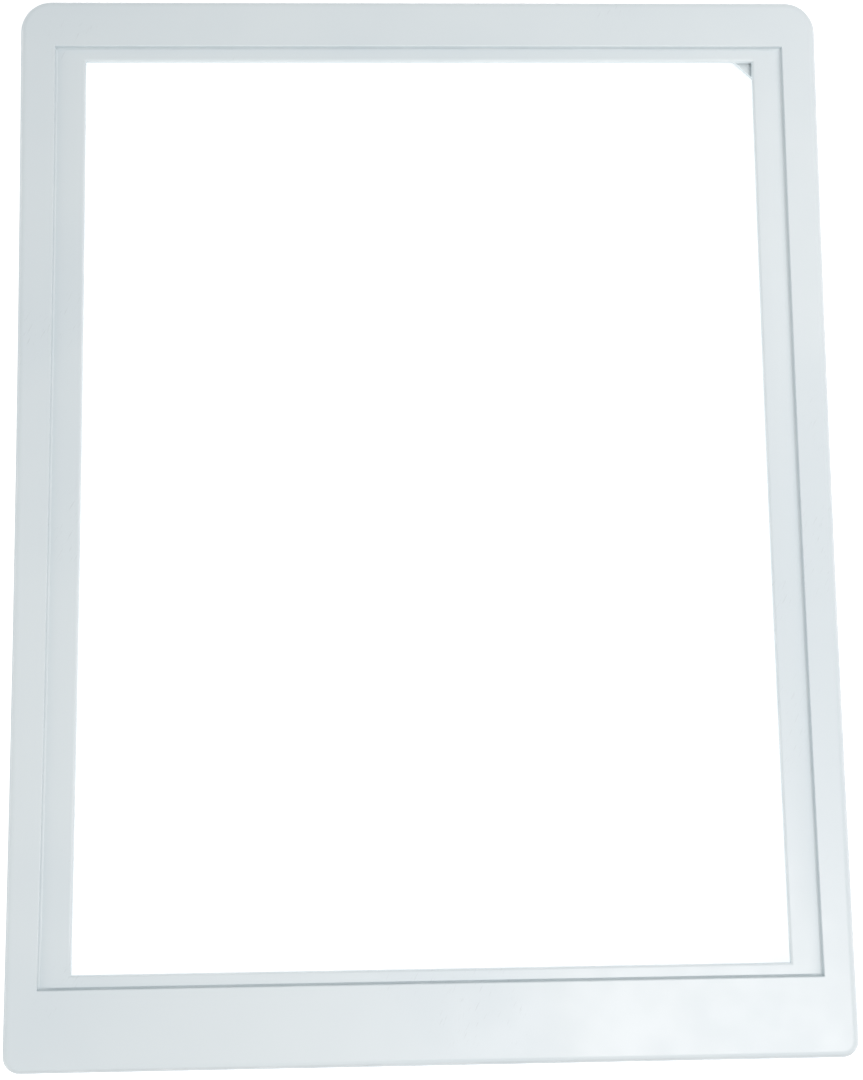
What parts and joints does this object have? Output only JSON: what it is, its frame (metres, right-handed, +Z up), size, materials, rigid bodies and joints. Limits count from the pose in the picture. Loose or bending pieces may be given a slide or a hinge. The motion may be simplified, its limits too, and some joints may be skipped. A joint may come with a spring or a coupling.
{
  "type": "crisper cover frame",
  "caption": "Flat rectangular moulded frame with a stepped recess and narrow ledge for a loose glass panel, a wide front rail and rounded rear corners, laid over a refrigerator crisper drawer.",
  "frame": {"origin": "under the middle of the outline, on the bottom rim that the frame stands on", "axes": "+X to the right, +Y to the rear, +Z up out of the glass recess"},
  "size_m": [0.34, 0.4402, 0.019],
  "materials": {
    "frame_plastic": "satin moulded white plastic, slightly cool"
  },
  "bodies": {
    "root": {"cover_frame": "frame_plastic"}
  },
  "joints": []
}
